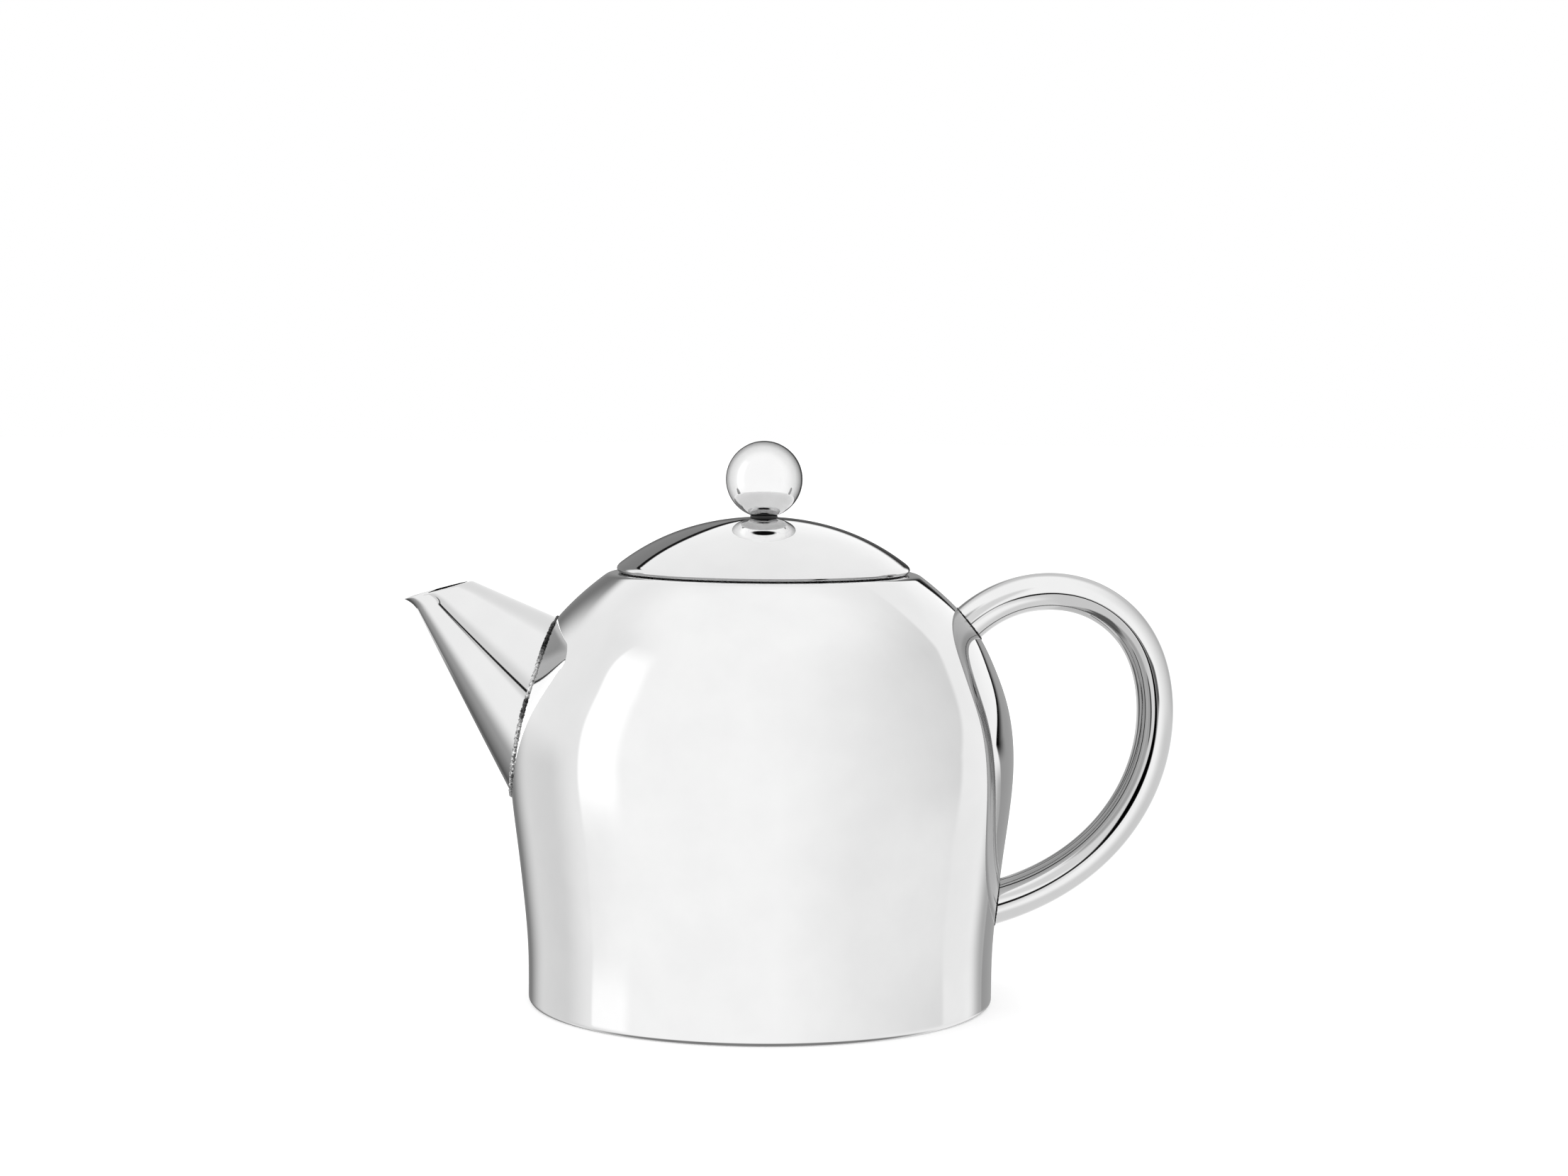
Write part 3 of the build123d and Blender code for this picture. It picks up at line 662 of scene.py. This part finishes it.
class Sky:
    """Soft panels in a white tent, laid over each other by direction.

    Azimuth is 0 in front and 90 at the handle's side, height is above the horizon, in degrees.
    """

    def __init__(self, tree, level):
        self.tree = tree
        path = tree.nodes.new("ShaderNodeLightPath")
        self.second = self.step(path.outputs["Ray Depth"], 1.4, 1.6)  # seen in a second mirror
        place = tree.nodes.new("ShaderNodeTexCoord")
        unit = tree.nodes.new("ShaderNodeVectorMath")
        unit.operation = "NORMALIZE"
        parts = tree.nodes.new("ShaderNodeSeparateXYZ")
        tree.links.new(place.outputs["Object"], unit.inputs[0])
        tree.links.new(unit.outputs["Vector"], parts.inputs["Vector"])
        self.way = unit.outputs["Vector"]
        x, y, z = parts.outputs
        self.az = self.do("MULTIPLY", self.do("ARCTAN2", x, self.do("MULTIPLY", y, -1.0)), degrees(1))
        self.el = self.do("MULTIPLY", self.do("ARCSINE", z), degrees(1))
        self.away = self.do("ABSOLUTE", self.az)  # 180 straight behind
        self.value = self.do("ADD", shown(level), 0.0)

    def do(self, operation, *inputs):
        """The result of a math operation on sockets and numbers."""
        node = self.tree.nodes.new("ShaderNodeMath")
        node.operation = operation
        for place, given in zip(node.inputs, inputs):
            if isinstance(given, (int, float)):
                place.default_value = given
            else:
                self.tree.links.new(given, place)
        return node.outputs[0]

    def step(self, value, start, end, kind="SMOOTHSTEP"):
        """0 at start and 1 at end, with start above end for a falling step."""
        node = self.tree.nodes.new("ShaderNodeMapRange")
        node.interpolation_type = kind
        node.clamp = True
        flip = start > end
        node.inputs["From Min"].default_value = min(start, end)
        node.inputs["From Max"].default_value = max(start, end)
        node.inputs["To Min"].default_value = 1.0 if flip else 0.0
        node.inputs["To Max"].default_value = 0.0 if flip else 1.0
        self.tree.links.new(value, node.inputs["Value"])
        return node.outputs["Result"]

    def panel(self, level, az=(), el=(), masks=()):
        """Lays a level where the azimuth and height steps and the masks are all 1."""
        steps = [self.step(self.az, *pair) for pair in az]
        steps += [self.step(self.el, *pair) for pair in el]
        steps += list(masks)
        cover = steps[0]
        for mask in steps[1:]:
            cover = self.do("MULTIPLY", cover, mask)
        change = self.do("SUBTRACT", shown(level), self.value)
        self.value = self.do("MULTIPLY_ADD", change, cover, self.value)

    def over(self, az, el, slope):
        """Height above a line through a direction, which rises by slope per degree of azimuth."""
        rise = self.do("MULTIPLY", self.do("SUBTRACT", self.az, az), slope)
        return self.do("SUBTRACT", self.do("SUBTRACT", self.el, el), rise)

    def line(self, az, el, slope, width):
        """1 on a thin slanted line through a direction."""
        return self.step(self.do("ABSOLUTE", self.over(az, el, slope)), width, width * 0.5)

    def spot(self, az, el, wide, high, slope=0.0):
        """1 in a soft oval round a direction, its long axis rising by slope."""
        aside = self.do("SUBTRACT", self.az, az)
        across = self.do("DIVIDE", aside, wide)
        up = self.do("DIVIDE", self.over(az, el, slope), high)
        square = self.do("MULTIPLY_ADD", across, across, self.do("MULTIPLY", up, up))
        return self.step(square, 1.3, 0.6)

    def near(self, az, el, start, end):
        """1 within end degrees of a direction, falling to 0 at start degrees."""
        node = self.tree.nodes.new("ShaderNodeVectorMath")
        node.operation = "DOT_PRODUCT"
        aim = radians(az), radians(el)
        node.inputs[1].default_value = (cos(aim[1]) * sin(aim[0]), -cos(aim[1]) * cos(aim[0]), sin(aim[1]))
        self.tree.links.new(self.way, node.inputs[0])
        angle = self.do("MULTIPLY", self.do("ARCCOSINE", node.outputs["Value"]), degrees(1))
        return self.step(angle, start, end)

    def above(self, az, el, slope, soft):
        """1 above a slanted line through a direction."""
        return self.step(self.over(az, el, slope), -soft, soft)


def paint_body(sky):
    """What the body mirrors, and every piece with no tent of its own."""
    # the walls darken slowly to both sides
    sky.panel(228, az=[(-64, -100)], el=[(62, 40)])
    sky.panel(210, az=[(8, 106, "LINEAR")], el=[(72, 30)])
    sky.panel(231, az=[(25, 60)], el=[(-6, -24)])
    # the next wall on the right starts at an arched edge
    lean = sky.do("MULTIPLY", sky.step(sky.el, 0, 30, "LINEAR"), 12.0)
    arch = sky.do("MULTIPLY", sky.do("POWER", sky.step(sky.el, 20, 50, "LINEAR"), 2.0), 28.0)
    edge = sky.do("SUBTRACT", sky.az, sky.do("ADD", lean, arch))
    sky.panel(233, el=[(62, 48), (-26, -8)], masks=[sky.step(edge, 99.5, 103.5)])
    # the ceiling towards the back
    sky.panel(231, el=[(28, 34), (80, 60)], masks=[sky.step(sky.away, 120, 150)])
    # the lit panel at the left
    sky.panel(262, az=[(-91.5, -89), (-64, -72)], el=[(-22, -6), (48, 32)])
    # the right, towards the back: a curved edge with a shade that fades behind it
    rise = sky.do("POWER", sky.step(sky.el, -2, 9.7, "LINEAR"), 1.5)
    fall = sky.do("MULTIPLY_ADD", sky.step(sky.el, -2, -14, "LINEAR"), 11.0, 134.0)
    past = sky.do("SUBTRACT", sky.az, sky.do("MULTIPLY_ADD", rise, 28.5, fall))
    sky.panel(178, az=[(136, 158)], el=[(-8, -16), (-40, -28)])
    sky.panel(160, az=[(124, 141)], el=[(-4, -9), (-19, -14)])
    sky.panel(141, el=[(32, 22), (-20, -12)], masks=[sky.step(past, -1, 1)])
    sky.panel(0, el=[(31, 20), (-6, -2)], masks=[sky.step(past, 13, 1.5), sky.step(past, -1.5, 0.0)])
    # the left, towards the back
    sky.panel(206, az=[(-92, -112)], el=[(6, -6), (-44, -30)])
    sky.panel(107, az=[(-133, -161)], el=[(32, 24), (-44, -30)])
    # the grey wall straight behind
    sky.panel(124, el=[(32, 22), (-46, -28)], masks=[sky.step(sky.away, 162, 178)])
    # the dark table edge under the foot
    sky.panel(120, el=[(-36, -56)])
    # seen only in the handle's image of the body: a lit floor at the back and dark gaps
    sky.panel(288, az=[(60, 115)], el=[(-38, -50)], masks=[sky.second])
    sky.panel(36, el=[(66, 60), (-34, -26)], masks=[sky.second, sky.line(44, 17, 2.3, 20.0)])
    sky.panel(60, az=[(70, 78)], masks=[sky.second, sky.line(80, 5, 0.4, 5.0)])


def paint_spout(sky):
    """What the spout mirrors."""
    sky.panel(216, el=[(-4, 4)], masks=[sky.step(sky.away, 90, 160)])
    # a soft grey above the thin dark line
    sky.panel(208, az=[(-12, -34), (-52, -44)], el=[(40, 22), (8, 14)])
    sky.panel(20, az=[(-46, -43), (-30, -33)], masks=[sky.line(-35.8, 17.8, 0.55, 1.1)])
    sky.panel(20, az=[(-48, -46), (-41, -43)], masks=[sky.line(-35.8, 17.8, 0.55, 2.6)])
    # a long fall to dark at the lower left
    sky.panel(150, az=[(-74, -108)], el=[(-2, -8)])
    sky.panel(110, az=[(-104, -138)], el=[(-2, -8)])
    sky.panel(74, az=[(-130, -152)], el=[(-14, -20)])
    sky.panel(262, az=[(-138, -142)], el=[(4, 0)], masks=[sky.above(-142, -18, -0.36, 1.6)])
    # its image in the body is grey above a thin dark line and white below
    sky.panel(312, el=[(30, 27)], masks=[sky.second])
    sky.panel(216, el=[(28, 31)], masks=[sky.second])
    sky.panel(174, el=[(46, 62)], masks=[sky.second])
    sky.panel(60, el=[(26.5, 28.5), (31.5, 29.5)], masks=[sky.second])


def paint_handle(sky):
    """What the handle mirrors."""
    # the right wall, the ceiling behind it and the floor
    sky.panel(172, az=[(30, 126, "LINEAR")], el=[(72, 30)])
    sky.panel(196, el=[(24, 34), (78, 54)], masks=[sky.step(sky.away, 90, 150)])
    sky.panel(200, az=[(24, 84)], el=[(0, -12)])
    sky.panel(250, az=[(128, 158)], el=[(22, 10), (-60, -10)])
    sky.panel(206, el=[(-36, -56)])
    # the grey left side
    sky.panel(210, az=[(2, -4)], el=[(40, 28)])
    sky.panel(198, az=[(20, 4)], el=[(-8, -15)])
    sky.panel(158, az=[(-24, -36)], el=[(44, 34)])
    sky.panel(184, az=[(-112, -130)], el=[(6, -4)])
    sky.panel(124, az=[(-135, -150)], el=[(42, 34), (6, 18)])
    sky.panel(84, az=[(-78, -66), (-22, -34)], el=[(-40, -46), (-70, -62)])
    sky.panel(184, el=[(50, 40)], masks=[sky.step(sky.away, 164, 176)])
    # the dark gap in front
    sky.panel(0, masks=[sky.spot(-4.5, -2, 12.0, 5.6, -0.5)])
    sky.panel(8, masks=[sky.spot(4.6, -7.6, 4.0, 4.4, -1.2)])
    sky.panel(90, az=[(5, 9), (26, 20)], masks=[sky.line(16, -3.0, 0.12, 3.0)])
    sky.panel(60, masks=[sky.spot(-31, -7, 4.5, 8.0)])


def paint_lid(sky):
    """What the lid mirrors."""
    # the gap at the left, bounded by a dark arc
    fall = sky.do("POWER", sky.step(sky.az, -150, -180, "LINEAR"), 4.0)
    arc_height = sky.do("MULTIPLY_ADD", fall, -20.0, 31.5)
    under = sky.do("SUBTRACT", sky.el, arc_height)
    left = sky.step(sky.az, -128, -140)
    sky.panel(118, masks=[left, sky.step(under, 1.0, -1.0)])
    sky.panel(20, masks=[left, sky.step(under, 0.5, -0.5), sky.step(under, -3.4, -2.2)])
    # the dark gap at the right
    sky.panel(48, az=[(156, 164)], el=[(17, 12)])
    sky.panel(84, el=[(14, 6)], masks=[sky.step(sky.away, 166, 177)])


def paint_ball(sky):
    """What the knob's ball mirrors."""
    # darker in rings towards straight behind
    sky.panel(214, masks=[sky.near(174, -2, 112, 50)])
    sky.panel(160, masks=[sky.near(174, -2, 68, 34)])
    sky.panel(60, masks=[sky.near(174, -2, 40, 20)])
    sky.panel(262, az=[(-94, -86), (-58, -74)], el=[(50, 36), (-34, -10)])
    # dark marks, seen only in the lid's image of the ball
    sky.panel(10, masks=[sky.second, sky.spot(0, -4, 44, 20)])


def build_tent(name, lit, radius, level, second, paint):
    """A huge tent of light that only some pieces mirror; second is its share in a second mirror."""
    rows, columns = 25, 48
    points = []
    for i in range(rows):
        rise = pi * (i / (rows - 1) - 0.5) * 0.9999  # just short of the poles
        for k in range(columns):
            turn = 2 * pi * k / columns
            points.append((cos(rise) * cos(turn), cos(rise) * sin(turn), sin(rise)))
    mesh = bpy.data.meshes.new(name)
    mesh.from_pydata((np.array(points) * radius).tolist(), [], grid_faces(rows, columns))
    tent = bpy.data.objects.new(name, mesh)
    bpy.context.scene.collection.objects.link(tent)
    material = bpy.data.materials.new(name)
    material.use_nodes = True
    tree = material.node_tree
    tree.nodes.clear()
    sky = Sky(tree, level)
    paint(sky)
    dim = sky.do("MULTIPLY_ADD", sky.second, second - 1.0, 1.0)
    glow = tree.nodes.new("ShaderNodeEmission")
    clear = tree.nodes.new("ShaderNodeBsdfTransparent")
    both = tree.nodes.new("ShaderNodeAddShader")
    out = tree.nodes.new("ShaderNodeOutputMaterial")
    tree.links.new(sky.value, glow.inputs["Color"])
    tree.links.new(dim, glow.inputs["Strength"])
    tree.links.new(glow.outputs["Emission"], both.inputs[0])
    tree.links.new(clear.outputs["BSDF"], both.inputs[1])
    tree.links.new(both.outputs["Shader"], out.inputs["Surface"])
    mesh.materials.append(material)
    tent.visible_camera = False
    tent.visible_shadow = False
    tent.visible_diffuse = False
    tent.visible_transmission = False
    receivers = bpy.data.collections.new(name)
    for piece in lit:
        receivers.objects.link(piece)
    tent.light_linking.receiver_collection = receivers


def build_world():
    """White for the camera and the floor; the steel mirrors the tents instead."""
    world = bpy.data.worlds.new("studio")
    bpy.context.scene.world = world
    world.use_nodes = True
    tree = world.node_tree
    tree.nodes.clear()
    plain = tree.nodes.new("ShaderNodeBackground")
    plain.inputs["Color"].default_value = (1, 1, 1, 1)
    dark = tree.nodes.new("ShaderNodeBackground")
    dark.inputs["Color"].default_value = (0, 0, 0, 1)
    seen = tree.nodes.new("ShaderNodeLightPath")
    mix = tree.nodes.new("ShaderNodeMixShader")
    out = tree.nodes.new("ShaderNodeOutputWorld")
    tree.links.new(seen.outputs["Is Glossy Ray"], mix.inputs["Fac"])
    tree.links.new(plain.outputs["Background"], mix.inputs[1])
    tree.links.new(dark.outputs["Background"], mix.inputs[2])
    tree.links.new(mix.outputs["Shader"], out.inputs["Surface"])


def build_floor():
    """A plain white light table, which the steel doesn't mirror."""
    mesh = bpy.data.meshes.new("floor")
    half = 6.0  # half of its side, in metres
    corners = [(-half, -half, 0), (half, -half, 0), (half, half, 0), (-half, half, 0)]
    mesh.from_pydata(corners, [], [(0, 1, 2, 3)])
    floor = bpy.data.objects.new("floor", mesh)
    bpy.context.scene.collection.objects.link(floor)
    material, tree, shader = new_material("light_table")
    grain = add_noise(tree, 3, 2)
    tree.links.new(tinted(tree, grain, grey(0.94), grey(0.95)), shader.inputs["Base Color"])
    shader.inputs["Roughness"].default_value = 0.9
    shader.inputs["Specular IOR Level"].default_value = 0.0
    shader.inputs["Emission Color"].default_value = (1, 1, 1, 1)
    shader.inputs["Emission Strength"].default_value = 0.35
    mesh.materials.append(material)
    floor.visible_glossy = False


# piece: its tent's name, radius in metres, level, share in a second mirror and painter
own_tents = {
    "handle_tube": ("tent_handle", 18.0, 240, 0.7, paint_handle),
    "spout_cone": ("tent_spout", 22.0, 236, 0.9, paint_spout),
    "lid_dome": ("tent_lid", 26.0, 232, 1.25, paint_lid),
    "knob_sphere": ("tent_knob", 30.0, 249, 1.4, paint_ball),
}
meshes = [o for o in bpy.data.objects if o.type == "MESH"]
others = [o for o in meshes if o.name not in own_tents]
build_tent("tent", others, radius=14.0, level=243, second=0.64, paint=paint_body)
for name, (tent, radius, level, second, paint) in own_tents.items():
    build_tent(tent, [bpy.data.objects[name]], radius, level, second, paint)
build_world()
build_floor()
view = bpy.context.scene.view_settings
view.view_transform = "Standard"
view.look = "None"
view.exposure = 0.0
view.gamma = 1.0
